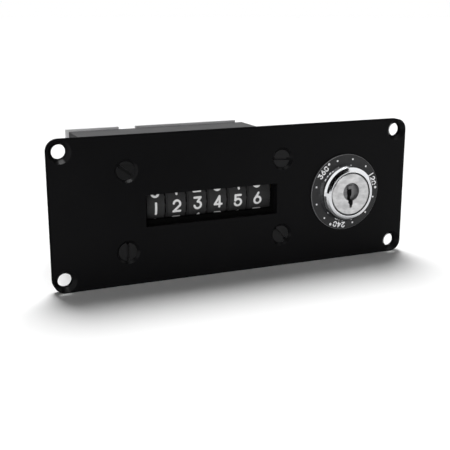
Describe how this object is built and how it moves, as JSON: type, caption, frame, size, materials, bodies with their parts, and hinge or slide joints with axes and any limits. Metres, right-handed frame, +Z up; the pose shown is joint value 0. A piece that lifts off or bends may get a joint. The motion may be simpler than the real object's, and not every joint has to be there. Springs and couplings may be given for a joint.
{
  "type": "panel counter",
  "caption": "Panel-mounted number-wheel counter with a key reset: slim face plate with countersunk holes, a window over number wheels, a keyed lock on a dial ring and a grey case behind.",
  "frame": {"origin": "centre of the corner-hole pattern on the face plate's rear face", "axes": "+X to the right seen from the front, +Y back into the panel, +Z up; the plate's front looks along -Y"},
  "size_m": [0.132, 0.0638, 0.05],
  "materials": {
    "anodised_plate": "satin black anodised",
    "black_screw": "black oxide",
    "dial_black": "satin black",
    "chrome": "polished chrome",
    "brushed_steel": "brushed",
    "brass": "plain brass",
    "steel": "zinc plated",
    "case_grey": "moulded grey",
    "cover_grey": "moulded light grey",
    "magnet_iron": "soft iron",
    "bobbin_white": "moulded",
    "winding_copper": "enamelled wire",
    "black_plastic": "moulded black",
    "wheel_black": "moulded black",
    "pinion_white": "moulded natural"
  },
  "bodies": {
    "counter": {"faceplate": "anodised_plate", "counter_screws": "black_screw", "dial_ring": "dial_black", "lock_barrel": "chrome", "lock_washer": "steel", "lock_nut": "steel", "case_body": "case_grey", "window_mask": "black_plastic", "rear_cover": "cover_grey", "rear_cover_screws": "steel", "mechanism_frame": "steel", "shaft_bush_left": "brass", "shaft_bush_right": "brass", "wall_bush": "brass", "pinion_shaft": "steel", "pinion_spacers": "brass", "magnet_yoke": "magnet_iron", "magnet_core": "magnet_iron", "yoke_screws": "steel", "coil_bobbin": "bobbin_white", "coil_winding": "winding_copper", "armature_pin": "steel", "armature_spring": "steel", "terminal_block": "black_plastic", "coil_terminals": "brass"},
    "lock_plug": {"lock_plug": "brushed_steel", "lock_wafers": "steel", "plug_gear": "brass", "plug_gear_screw": "steel"},
    "reset_shaft": {"reset_shaft": "steel", "shaft_gear": "brass", "shaft_gear_pin": "steel", "shaft_clip": "steel"},
    "armature": {"armature": "magnet_iron", "verge": "steel"},
    "wheel_1": {"number_wheel_1": "wheel_black"},
    "wheel_2": {"number_wheel_2": "wheel_black"},
    "wheel_3": {"number_wheel_3": "wheel_black"},
    "wheel_4": {"number_wheel_4": "wheel_black"},
    "wheel_5": {"number_wheel_5": "wheel_black"},
    "wheel_6": {"number_wheel_6": "wheel_black"},
    "pinion_1": {"transfer_pinion_1": "pinion_white"},
    "pinion_2": {"transfer_pinion_2": "pinion_white"},
    "pinion_3": {"transfer_pinion_3": "pinion_white"},
    "pinion_4": {"transfer_pinion_4": "pinion_white"},
    "pinion_5": {"transfer_pinion_5": "pinion_white"}
  },
  "joints": [
    {"name": "key_turn", "type": "hinge", "parent": "counter", "child": "lock_plug", "pos_m": [0.0406, 0, -0.0002], "axis": [0, 1, 0], "continuous": true},
    {"name": "reset_turn", "type": "hinge", "parent": "counter", "child": "reset_shaft", "pos_m": [0, 0.0111, -0.0002], "axis": [-1, 0, 0], "continuous": true},
    {"name": "wheel_1_turn", "type": "hinge", "parent": "counter", "child": "wheel_1", "pos_m": [-0.02955, 0.0111, -0.0002], "axis": [-1, 0, 0], "continuous": true},
    {"name": "wheel_2_turn", "type": "hinge", "parent": "counter", "child": "wheel_2", "pos_m": [-0.02201, 0.0111, -0.0002], "axis": [-1, 0, 0], "continuous": true},
    {"name": "wheel_3_turn", "type": "hinge", "parent": "counter", "child": "wheel_3", "pos_m": [-0.01447, 0.0111, -0.0002], "axis": [-1, 0, 0], "continuous": true},
    {"name": "wheel_4_turn", "type": "hinge", "parent": "counter", "child": "wheel_4", "pos_m": [-0.00693, 0.0111, -0.0002], "axis": [-1, 0, 0], "continuous": true},
    {"name": "wheel_5_turn", "type": "hinge", "parent": "counter", "child": "wheel_5", "pos_m": [0.00061, 0.0111, -0.0002], "axis": [-1, 0, 0], "continuous": true},
    {"name": "wheel_6_turn", "type": "hinge", "parent": "counter", "child": "wheel_6", "pos_m": [0.00815, 0.0111, -0.0002], "axis": [-1, 0, 0], "continuous": true},
    {"name": "pinion_1_turn", "type": "hinge", "parent": "counter", "child": "pinion_1", "pos_m": [-0.02585, 0.01961, 0.00831], "axis": [-1, 0, 0], "continuous": true},
    {"name": "pinion_2_turn", "type": "hinge", "parent": "counter", "child": "pinion_2", "pos_m": [-0.01831, 0.01961, 0.00831], "axis": [-1, 0, 0], "continuous": true},
    {"name": "pinion_3_turn", "type": "hinge", "parent": "counter", "child": "pinion_3", "pos_m": [-0.01077, 0.01961, 0.00831], "axis": [-1, 0, 0], "continuous": true},
    {"name": "pinion_4_turn", "type": "hinge", "parent": "counter", "child": "pinion_4", "pos_m": [-0.00323, 0.01961, 0.00831], "axis": [-1, 0, 0], "continuous": true},
    {"name": "pinion_5_turn", "type": "hinge", "parent": "counter", "child": "pinion_5", "pos_m": [0.00431, 0.01961, 0.00831], "axis": [-1, 0, 0], "continuous": true},
    {"name": "armature_rock", "type": "hinge", "parent": "counter", "child": "armature", "pos_m": [0, 0.0225, 0.0045], "axis": [1, 0, 0], "range_deg": [0, 4], "stiffness_Nm_per_rad": 0.02}
  ],
  "couplings": [
    {"joint": "reset_turn", "follows": "key_turn", "ratio": 1},
    {"joint": "pinion_1_turn", "follows": "wheel_1_turn", "ratio": -2.5},
    {"joint": "pinion_2_turn", "follows": "wheel_2_turn", "ratio": -2.5},
    {"joint": "pinion_3_turn", "follows": "wheel_3_turn", "ratio": -2.5},
    {"joint": "pinion_4_turn", "follows": "wheel_4_turn", "ratio": -2.5},
    {"joint": "pinion_5_turn", "follows": "wheel_5_turn", "ratio": -2.5}
  ]
}
